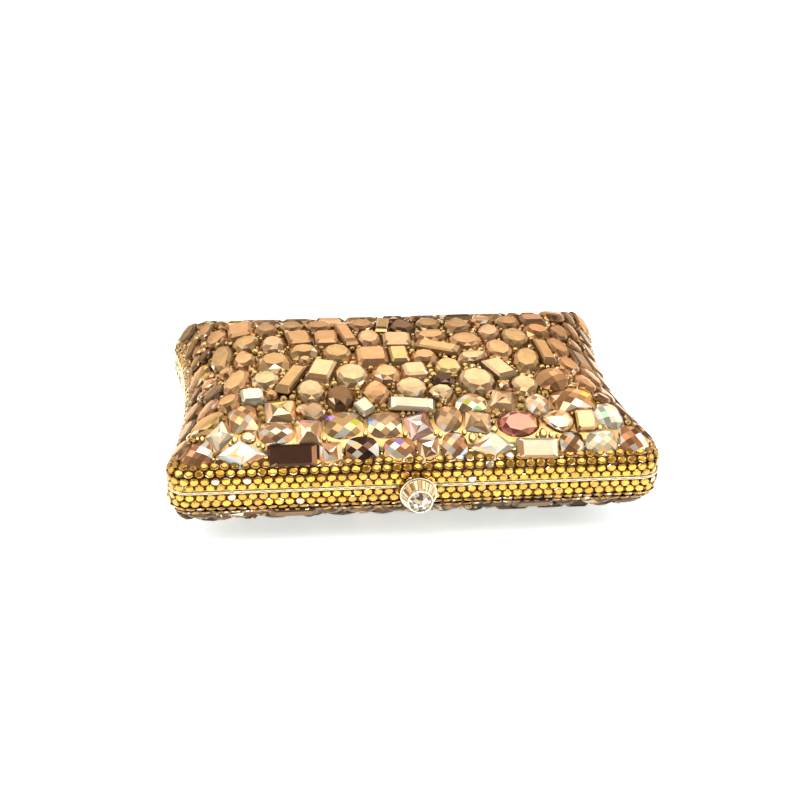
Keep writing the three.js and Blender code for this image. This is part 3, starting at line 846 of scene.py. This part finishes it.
# Each look: the share of crown facets with painted glints, the share with painted rainbow flashes and the
# crown's painted shades.
ROW_LOOKS = [
    (0.42, 0.035, BRIGHT_CROWN), (0.28, 0.035, BRIGHT_CROWN), (0.28, 0.035, BRIGHT_CROWN),
    (0.07, 0.004, SHADED_CROWN),
]  # by row from the clasp edge; the last one holds for the rest
# The back half's stones get the darkest painted crown shade and few painted glints.
UNDER_SHADED_LOOK = (0.05, 0.0, DARK_CROWN)
CHIP_LOOK = (0.2, 0.0, BRIGHT_CROWN)


def stone_panel(half, body, prefix):
    """One half's large stones by row and the chips between them."""
    rng = random.Random(5 if half > 0 else 6)
    for row in range(len(LAYOUT)):
        cluster = Cluster()
        for stone in (s for s in FITTED if s.row == row):
            # the back half's stones get painted shade tones
            tone = TONES[stone.tone if half > 0 else rng.choice(UNDER_SHADE_TONES)]
            tone = shade(tone, ROW_PAINTED_LIGHT[row])
            # painted shade on the right slope
            if stone.x > RIGHT_SLOPE:
                tone = tuple(c * tint for c, tint in zip(tone, RIGHT_PAINTED_SHADE))
            look = UNDER_SHADED_LOOK if half < 0 else ROW_LOOKS[min(row, len(ROW_LOOKS) - 1)]
            set_stone(cluster, rng, stone, (tone, *look), half)
        name = f"{prefix}_crystals_{row + 1}"
        cluster.build(name, STONE_GLASS, body)
    cluster = Cluster()
    for chip in CHIPS:
        tone = shade(CHIP_GOLD, rng.uniform(0.85, 1.1))
        sunk = CHIP_SUNK if chip.y > NEAR_ROWS else NEAR_CHIP_SUNK
        set_stone(cluster, rng, chip, (tone, *CHIP_LOOK), half, sunk)
    cluster.build(f"{prefix}_gold_chips", CHIP_GLASS, body)
    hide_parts(f"{prefix}_stone_panel")


both_halves(stone_panel)


# ---- stone bed ----
GILT = metal_material("gilt_bed", (0.80, 0.52, 0.20), (0.26, 0.14, 0.045), 0.26, 0.9)
SHELL_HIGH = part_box("front_shell")[1].z - SEAM_Z
SHELL_INSET = 2.7 * MM
BED_INSET = 4.2 * MM  # where the bed starts, in from the outline
BED_LOW, BED_HIGH = 0.35 * MM, 1.1 * MM  # its two faces above the shell


def bed(half, body, prefix):
    """The gilt cement that the stones are pressed into, over the metal shell."""
    insets = [d for d in FINE_INSETS if d > BED_INSET]

    def bed_ring(inset, lift):
        return ring(inset, dome(inset, SHELL_INSET, SHELL_EDGE, SHELL_HIGH) + lift, half)

    inner = [bed_ring(d, BED_LOW) for d in reversed(insets[:-1])]
    outer = [bed_ring(d, BED_HIGH) for d in insets]
    vertices, faces = lofted(inner + outer)
    obj = new_object(f"{prefix}_stone_bed", vertices, faces, GILT, True, flip=half < 0)
    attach(obj, body)


both_halves(bed)


# ---- rhinestone bands ----
PITCH = 4.05 * MM
RHINESTONE_R = 1.98 * MM
RHINESTONE_TALL = 0.86  # height of a rhinestone over its width
RHINESTONE_DEEP = 0.95  # from its table to its back, in millimetres
ASKEW = 0.06  # how unevenly the rhinestones are set
# Painted glints: a few whole rhinestones are painted cream.
CREAM_GLINT_SHARE = 0.03  # the share of rhinestones that are cream
HINGE_GAP = 1.6 * MM  # how far the rhinestones keep from a hinge
LEAF_HEIGHT = 4 * MM  # how far up from the seam a hinge's leaf reaches
LOOK_AHEAD = 0.4 * MM
TOPAZ = (1.0, 0.50, 0.05)
# Painted shade on the rhinestones' sides.
RHINESTONE_SIDE_SHADE = (0.50, 0.23, 0.03)
# Each row: inset of its tables, height from the seam and how far it leans back.
BAND_ROWS = [(-0.7, 2.2, 0), (-0.7, 5.0, 4), (0.5, 8.45, 48), (2.0, 11.0, 56)]
# Painted shade by row: the rhinestones on the shoulder are painted darker.
BAND_ROW_PAINTED_SHADES = (1.0, 1.0, 0.8, 0.5)  # the shoulder's rhinestones look darker
TOPAZ_GLASS = stone_material("topaz_rhinestone", 0.8, 0.08, 0.6)
# Painted shade: the setting is dark brown, to show as the shaded gaps between the rhinestones.
SETTING_IN_SHADE = metal_material("shaded_setting", (0.20, 0.10, 0.03), (0.07, 0.035, 0.012), 0.35)


def measured(points):
    """A line's points, closed, and the distance along it to each of them."""
    closed = np.vstack((points, points[:1]))
    steps = np.hypot(*np.diff(closed[:, :2], axis=0).T)
    return closed, np.concatenate(([0], np.cumsum(steps)))


def spaced(points, count, shift):
    """Places at equal steps along a closed line, each with its direction."""
    closed, along = measured(points)
    at = (np.arange(count) + shift) * along[-1] / count % along[-1]
    x, y = (np.interp(at, along, closed[:, k]) for k in (0, 1))
    ahead = (at + LOOK_AHEAD) % along[-1]
    back = (at - LOOK_AHEAD) % along[-1]
    ends = [[np.interp(place, along, closed[:, k]) for k in (0, 1)] for place in (ahead, back)]
    return list(zip(x, y, ends[0][0] - ends[1][0], ends[0][1] - ends[1][1]))


def band_gap(x, y, height):
    """Whether a hinge takes a rhinestone's place."""
    beside = any(abs(x - hinge) < HINGE_HALF + HINGE_GAP for hinge in HINGES)
    return y > 0 and height < LEAF_HEIGHT and beside


def rhinestone_colors(rng, normals, tone):
    """A bright table, painted light and shade on the upper crown, dark brown painted shade on the sides
    and a few painted cream glints.
    """
    colors = []
    for _, _, z in normals:
        if z > TABLE_LEVEL:
            colors.append(tone)
        elif z > 0.75:
            colors.append(shade(tone, rng.choice((0.55, 0.8, 1.0, 1.1))))
        elif rng.random() < 0.12:
            colors.append(TONES["cream"])
        else:
            colors.append(shade(RHINESTONE_SIDE_SHADE, rng.choice((0.35, 0.7, 1.1))))
    return colors


def rhinestone_points(rng, center, along, facing):
    """A rhinestone's points, spun at random and slightly askew in its setting."""
    up = facing.cross(along)
    spin = rng.uniform(0, pi)
    c, s = cos(spin) * RHINESTONE_R, sin(spin) * RHINESTONE_R
    tilt = Vector((rng.gauss(0, ASKEW), rng.gauss(0, ASKEW)))
    placed = []
    for u, v, w in RHINESTONE[0]:
        a, b = u * c - v * s, u * s + v * c
        rise = (w - 1) * RHINESTONE_DEEP * MM + a * tilt.x + b * tilt.y
        placed.append(tuple(center + along * a + up * b * RHINESTONE_TALL + facing * rise))
    return placed


def rhinestone_band(half, body, prefix):
    """Staggered rows of rhinestones round one half."""
    rng = random.Random(21 if half > 0 else 22)
    count = round(measured(ring(0, 0))[1][-1] / PITCH)
    for number, (inset, height, lean) in enumerate(BAND_ROWS):
        cluster = Cluster()
        lift = Vector((0, 0, half * sin(radians(lean))))
        path = ring(inset * MM, height * MM, half)
        for x, y, dx, dy in spaced(path, count, 0.5 * (number % 2)):
            if band_gap(x, y, height * MM):
                continue
            along = Vector((dx, dy, 0)).normalized()
            out = Vector((dy, -dx, 0)).normalized()
            center = Vector((x, min(y, DEPTH / 2), SEAM_Z + half * height * MM))
            placed = rhinestone_points(rng, center, along, out * cos(radians(lean)) + lift)
            tone = shade(TOPAZ, rng.uniform(0.7, 1.12) * BAND_ROW_PAINTED_SHADES[number])
            # a painted cream glint
            if rng.random() < CREAM_GLINT_SHARE:
                tone = TONES["cream"]
            colors = rhinestone_colors(rng, RHINESTONE[2], tone)
            cluster.add(placed, flipped(RHINESTONE[1]), colors)
        obj = cluster.build(f"{prefix}_rhinestone_row_{number + 1}", TOPAZ_GLASS, body)
        if number == 0:
            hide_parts(f"{prefix}_rhinestone_band")


def band_setting(half, body, prefix):
    """The strip that the rhinestones are set in, painted dark brown as the shade in the gaps between
    them.
    """
    profile = [
        (0.75, 1.25), (0.75, 6.7), (2.15, 9.3), (3.2, 10.6), (4.6, 11.9), (4.6, 11.6), (2.6, 9.4),
        (2.1, 8.9), (2.1, 1.25),
    ]
    rings = [ring(d * MM, h * MM, half) for d, h in profile]
    vertices, faces = lofted(rings + rings[:1], first_cap=False)
    faces.pop()
    obj = new_object(f"{prefix}_band_setting", vertices, faces, SETTING_IN_SHADE, flip=half < 0)
    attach(obj, body)


BEAD = metal_material("bead_gold", (1.0, 0.90, 0.66), (0.96, 0.80, 0.50), 0.24)
BEAD_R = 0.22 * MM
BEAD_SIDES = 8
SLEEVE_HALF = 5 * MM  # the bead stops this far from the button's axis
BEAD_END = 0.4 * DEPTH  # and here, before the hinge edge


def edge_bead(half, body, prefix):
    """The thin polished bead along the frame's edge, left out at the button and the hinges."""
    path = ring(-0.5 * MM, 0.34 * MM, half)
    kept = [y < BEAD_END and not (y < 0 and abs(x) < SLEEVE_HALF) for x, y, _ in path]
    count = len(path)
    vertices, faces = [], []
    for i, (x, y, z) in enumerate(path):
        nx, ny = OUTLINE[i, 2:]
        for k in range(BEAD_SIDES):
            t = 2 * pi * k / BEAD_SIDES
            out, up = BEAD_R * cos(t), BEAD_R * sin(t)
            vertices.append((x - nx * out, y - ny * out, z + up))
    for i in range(count):
        j = (i + 1) % count
        a, b = i * BEAD_SIDES, j * BEAD_SIDES
        if kept[i] and kept[j]:
            for k in range(BEAD_SIDES):
                m = (k + 1) % BEAD_SIDES
                faces.append((a + k, b + k, b + m, a + m))
        elif kept[i]:
            faces.append(tuple(range(a, a + BEAD_SIDES)))
        elif kept[j]:
            faces.append(tuple(reversed(range(b, b + BEAD_SIDES))))
    obj = new_object(f"{prefix}_edge_bead", vertices, faces, BEAD, True)
    clean_object(obj)
    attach(obj, body)


def band(half, body, prefix):
    """One half's rhinestones, their setting and the polished bead beside them."""
    rhinestone_band(half, body, prefix)
    band_setting(half, body, prefix)
    edge_bead(half, body, prefix)


both_halves(band)

# ---- CAD parts' materials ----
GOLD = metal_material("polished_gold", (0.95, 0.72, 0.30), (0.80, 0.55, 0.20), 0.14)
PALE_GOLD = metal_material("pale_gold", (0.98, 0.90, 0.70), (0.88, 0.76, 0.52), 0.1)
STEEL = metal_material("spring_steel", (0.72, 0.72, 0.72), (0.55, 0.55, 0.56), 0.22)


def satin_material():
    """Satin with a fine diagonal weave, slightly uneven in colour."""
    nodes = material_nodes("lining_satin")
    where = nodes.add("TexCoord")
    weave = nodes.add("TexWave", wave_type="BANDS", bands_direction="DIAGONAL", Scale=700.0)
    nodes.link(where.outputs["Object"], weave.inputs["Vector"])
    color = nodes.ramp(nodes.noise(40), (0.3, (0.49, 0.34, 0.19, 1)), (0.7, (0.56, 0.40, 0.235, 1)))
    nodes.feed(color, "Base Color")
    nodes.set(Roughness=0.45, Sheen_Weight=0.4)
    nodes.bump(weave.outputs["Fac"], 0.3, 0.00005)
    return nodes.owner


SATIN = satin_material()
FINISHES = {
    "frame_gold": GOLD,
    "pale_gold": PALE_GOLD,
    "spring_steel": STEEL,
    "shell_metal": GOLD,
    "lining_satin": SATIN,
}
for part in frame["record"]["subparts"]:
    finish = FINISHES.get(part["material_slot"])
    node = frame["nodes"][part["node"]]
    if finish and not node.hide_render:
        node.data.materials.clear()
        node.data.materials.append(finish)


# ---- clasp button ----
BUTTON_FACE = -61 * MM  # the wall that the button goes through


def knob_point(out, radius, angle):
    """A place round the button's axis."""
    return Vector((radius * cos(angle), BUTTON_FACE - out, BUTTON_Z + radius * sin(angle)))


def lathe(name, profile, material, segments=72):
    """A body turned about the button's axis; each point is outward distance and radius."""
    turns = [2 * pi * i / segments for i in range(segments)]
    rings = [[knob_point(out * MM, radius * MM, t) for t in turns] for out, radius in profile]
    vertices, faces = lofted(rings)
    obj = new_object(name, vertices, faces, material, True)
    clean_object(obj, weld=True)
    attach(obj, "clasp_button")
    return obj


KNOB_PROFILE = [
    (6.4, 0.01), (6.4, 1.2), (4.7, 1.2), (4.7, 3.4), (2.7, 3.4), (2.7, 6.9), (2.75, 7.25), (2.95, 7.4),
    (3.15, 7.25), (3.25, 6.9), (3.0, 6.7), (3.4, 6.2), (7.3, 3.9), (7.5, 4.3), (7.6, 4.8), (7.8, 5.1),
    (8.2, 5.2), (8.6, 5.1), (8.9, 4.85), (9.0, 4.6), (8.8, 4.4), (8.2, 4.3), (8.0, 0.01),
]
BAGUETTES = 24
# Where the bars of glass start and end on the cone: distance out and radius.
BAR_FOOT, BAR_HEAD = (3.2 * MM, 6.75 * MM), (7.45 * MM, 4.4 * MM)
KNOB_GLASS = stone_material("clear_crystal", 0.3, 0.07, 0.4)
# Painted reflections: the clear baguettes take light and dark tones at random.
BAR_PAINTED_REFLECTIONS = [
    (1.0, 0.84, 0.52), (0.72, 0.42, 0.14), (1.0, 0.90, 0.72), (0.30, 0.15, 0.04), (0.9, 0.62, 0.26),
]
# Painted reflections: the clear round stone's facets take dark and light tones at random.
DART_PAINTED_REFLECTIONS = [
    (0.55, 0.42, 0.26), (0.16, 0.10, 0.06), (0.42, 0.30, 0.16), (0.09, 0.07, 0.06), (0.9, 0.87, 0.8),
]
CRYSTAL_LEVELS = [(0.96, 0.0, 24, 0), (1.0, 0.2, 24, 0), (0.72, 0.66, 12, 0.5), (0.4, 1.0, 6, 0)]
CRYSTAL_LEVELS += [(0.15, 1.08, 6, 0)]
CRYSTAL_R = 4.25 * MM


def knob_baguettes():
    """Small bars of glass side by side round the knob's cone."""
    rng = random.Random(31)
    cluster = Cluster()
    vertices, faces, normals = STONES["baguette"]
    for i in range(BAGUETTES):
        angle = 2 * pi * i / BAGUETTES
        low = knob_point(*BAR_FOOT, angle)
        high = knob_point(*BAR_HEAD, angle)
        along = (high - low) / 2
        tangent = Vector((-sin(angle), 0, cos(angle)))
        facing = tangent.cross(along.normalized())
        placed = []
        for u, v, w in vertices:
            wide = (0.72 - 0.15 * v) * MM
            spot = (low + high) / 2 + along * v + tangent * u * wide + facing * (w - 0.8) * 0.9 * MM
            placed.append(tuple(spot))
        # painted shade on the bars' sides
        colors = [shade(rng.choice(BAR_PAINTED_REFLECTIONS), 1.0 if n.z > GIRDLE_LEVEL else 0.2) for n in normals]
        cluster.add(placed, faces, colors)
    obj = cluster.build("knob_baguettes", KNOB_GLASS, "clasp_button")
    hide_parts("clasp_stone_ring")


def knob_crystal():
    """The round stone in the knob's bezel, with darts from its table to its edge and painted reflections
    on its facets.
    """
    rng = random.Random(32)
    vertices, faces, normals = cut_stone(oval_ring(), CRYSTAL_LEVELS, 2.0)
    placed = []
    for u, v, w in vertices:
        placed.append((u * CRYSTAL_R, BUTTON_FACE - (8.1 + 1.7 * w) * MM, BUTTON_Z + v * CRYSTAL_R))
    colors = [rng.choice(DART_PAINTED_REFLECTIONS) for _ in normals]
    cluster = Cluster()
    cluster.add(placed, faces, colors)
    obj = cluster.build("knob_crystal", KNOB_GLASS, "clasp_button")
    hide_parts("clasp_crystal")


knob = lathe("turned_knob", KNOB_PROFILE, PALE_GOLD)
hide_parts("clasp_knob")
knob_baguettes()
knob_crystal()


# ---- springs ----
def tube(name, points, radius, material, sides=10):
    """A round wire along a list of points, with flat ends."""
    rings = []
    side = None
    for i, point in enumerate(points):
        ahead = points[min(i + 1, len(points) - 1)] - points[max(i - 1, 0)]
        ahead.normalize()
        reference = side if side else Vector((0, 1, 0))
        side = (reference - ahead * reference.dot(ahead)).normalized()
        other = ahead.cross(side)
        turns = [2 * pi * k / sides for k in range(sides)]
        rings.append([point + side * cos(t) * radius + other * sin(t) * radius for t in turns])
    vertices, faces = lofted(rings)
    return new_object(name, vertices, faces, material, True)


def button_spring():
    """The coil that pushes the button out, between the sleeve's collar and the knob."""
    turns, flat_turns, wire, radius = 4, 0.7, 0.3 * MM, 2.3 * MM
    start, end = 1.25 * MM, 4.35 * MM
    points = []
    steps = turns * 28
    for i in range(steps + 1):
        share = i / steps
        rise = min(max((share * turns - flat_turns) / (turns - 2 * flat_turns), 0), 1)
        points.append(knob_point(start + (end - start) * rise, radius, 2 * pi * turns * share))
    obj = tube("button_coil_spring", points, wire, STEEL)
    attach(obj, "back_half")
    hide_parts("clasp_spring")
    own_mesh(obj)


def catch_spring(side, name):
    """Half of the flat catch spring: a riveted foot, a step and the bridge with its tab.
    """
    low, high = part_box("catch_spring")
    line = [(21.5, 3.7), (15.2, 3.7), (14.4, 3.9), (13.2, 5.1), (12.4, 5.4), (9.2, 5.4), (9.0, 4.2)]
    line += [(8.7, 4.0), (5.3, 4.0), (5.0, 4.2), (4.8, 5.4), (0.0, 5.4)]
    back = [(0.0, 5.9), (12.2, 5.9), (13.0, 5.6), (14.2, 4.4), (15.0, 4.2), (21.5, 4.2)]
    outline = [(x * side * MM, NEAR_Y + d * MM) for x, d in line + back]
    count = len(outline)
    vertices = [(x, y, z) for z in (low.z, high.z) for x, y in outline]
    faces = [tuple(reversed(range(count))), tuple(range(count, 2 * count))]
    faces += [(i, (i + 1) % count, count + (i + 1) % count, count + i) for i in range(count)]
    obj = new_object(name, vertices, faces, STEEL, flip=side > 0)
    clean_object(obj, split=True)
    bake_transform(obj)
    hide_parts("catch_spring")


button_spring()
catch_spring(-1, "catch_spring_left")
catch_spring(1, "catch_spring_right")


# ---- linings ----
# Insets and heights of the lip and wall, then the insets of the floor, in millimetres.
LINING_LIP = [(3.8, 0.5), (6.6, 0.45), (8.0, 0.55), (8.7, 0.95), (9.1, 1.8), (9.2, 4.0)]
LINING_LIP += [(9.3, 8.0), (9.5, 11.6)]
LIP_END = 8  # the inset where the lip ends
LATCH_HALF = 25 * MM
LEAF_HALF = 13.5 * MM
LATCH_STEP, LEAF_STEP = 8.0 * MM, 6.6 * MM  # how far in the lip steps back there
SHELL_INNER_INSET, SHELL_INNER_HIGH = 3.9 * MM, 22.8 * MM
CARD_TOP, CARD_UNDER = 1.4, 0.4  # the lining's two faces under the shell
LINING_INSETS = [10.2, 11.2, 12.6, 14.4, 17, 20, 24, 28, 33, 38, 43, 48, 52]


def under_shell(inset):
    """The height of the shell's inner face above the seam."""
    return dome(inset * MM, SHELL_INNER_INSET, SHELL_EDGE, SHELL_INNER_HIGH)


def lining_ring(inset, height, half):
    """A ring of the lining; its lip steps back at the latch and the hinges."""
    insets = np.full(len(OUTLINE), inset * MM)
    if inset <= LIP_END:
        x, y = OUTLINE[:, 0], OUTLINE[:, 1]
        latch = (y < 0) & (np.abs(x) < LATCH_HALF)
        hinge = (y > 0) & (np.abs(np.abs(x) - HINGES[1]) < LEAF_HALF)
        insets[latch] = np.maximum(insets[latch], LATCH_STEP)
        insets[hinge] = np.maximum(insets[hinge], LEAF_STEP)
    return ring(insets, height * MM, half)


def lining(half, body, prefix):
    """Satin glued over card: a turned lip, an upright wall and a soft domed floor."""
    outer = [(d, under_shell(d) / MM - CARD_UNDER) for d in reversed(LINING_INSETS)]
    outer += [(8.6, 11.4), (8.2, 8.0), (8.1, 1.6), (3.8, 1.3)]
    inner = LINING_LIP + [(d, under_shell(d) / MM - CARD_TOP) for d in LINING_INSETS]
    vertices, faces = lofted([lining_ring(d, h, half) for d, h in outer + inner])
    obj = new_object(f"{prefix}_satin_lining", vertices, faces, SATIN, True, flip=half > 0)
    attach(obj, body)
    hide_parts(f"{prefix}_lining")


both_halves(lining)


# ---- studio ----
def make_floor():
    """A white table that glows a little, so that shadows on it stay pale."""
    nodes = material_nodes("white_table")
    tint = nodes.ramp(nodes.noise(4), (0.3, (0.79, 0.83, 0.81, 1)), (0.7, (0.83, 0.86, 0.845, 1)))
    nodes.feed(tint, "Base Color")
    nodes.set(Roughness=0.3, Emission_Color=(0.96, 1.0, 0.985, 1), Emission_Strength=0.6)
    size = 9.0
    corners = [(-size, -size, 0), (size, -size, 0), (size, size, 0), (-size, size, 0)]
    floor = new_object("table_top", corners, [(0, 1, 2, 3)], nodes.owner)


def make_world():
    """A pale horizon and a dimmer sky, with a dark patch where a person would stand."""
    world = bpy.data.worlds.new("studio")
    bpy.context.scene.world = world
    nodes = Nodes(world, "Background")
    where = nodes.add("TexCoord").outputs["Generated"]
    split = nodes.add("SeparateXYZ")
    nodes.link(where, split.inputs["Vector"])
    sky = [(0.0, 0.72), (0.15, 0.78), (0.32, 0.9), (0.46, 1.2), (0.62, 1.15), (0.78, 0.62), (1.0, 0.42)]
    sky = nodes.ramp(split.outputs["Z"], *[(height, grey(value)) for height, value in sky])
    nodes.feed(sky, "Color")
    toward = nodes.add("VectorMath", operation="DOT_PRODUCT")
    toward.inputs[1].default_value = Vector((-0.1, -0.85, 0.55)).normalized()
    nodes.link(where, toward.inputs[0])
    limits = {"From Min": 0.74, "From Max": 0.95, "To Min": 1.0, "To Max": 0.22}
    patch = nodes.add("MapRange", interpolation_type="SMOOTHSTEP", **limits)
    nodes.link(toward.outputs["Value"], patch.inputs["Value"])
    nodes.feed(patch.outputs["Result"], "Strength")


def area_light(name, azimuth, elevation, distance, size, power, glossy=True):
    """A soft box aimed at the bag."""
    out = outward(azimuth, elevation)
    data = bpy.data.lights.new(name, "AREA")
    data.shape = "RECTANGLE"
    data.size, data.size_y = size
    data.energy = power
    light = linked(name, data)
    light.location = Vector((0, 0, SEAM_Z)) + out * distance
    light.rotation_euler = out.to_track_quat("Z", "Y").to_euler()
    light.visible_glossy = glossy


make_floor()
make_world()
area_light("overhead", 0, 88, 1.6, (2.4, 2.4), 36, glossy=False)
area_light("key", 5, 71, 1.2, (1.1, 0.46), 5.2)
area_light("left_strip", -70, 40, 1.1, (0.12, 0.6), 1.3)
area_light("right_strip", 75, 35, 1.1, (0.12, 0.6), 0.9)
bpy.context.scene.view_settings.view_transform = "Standard"
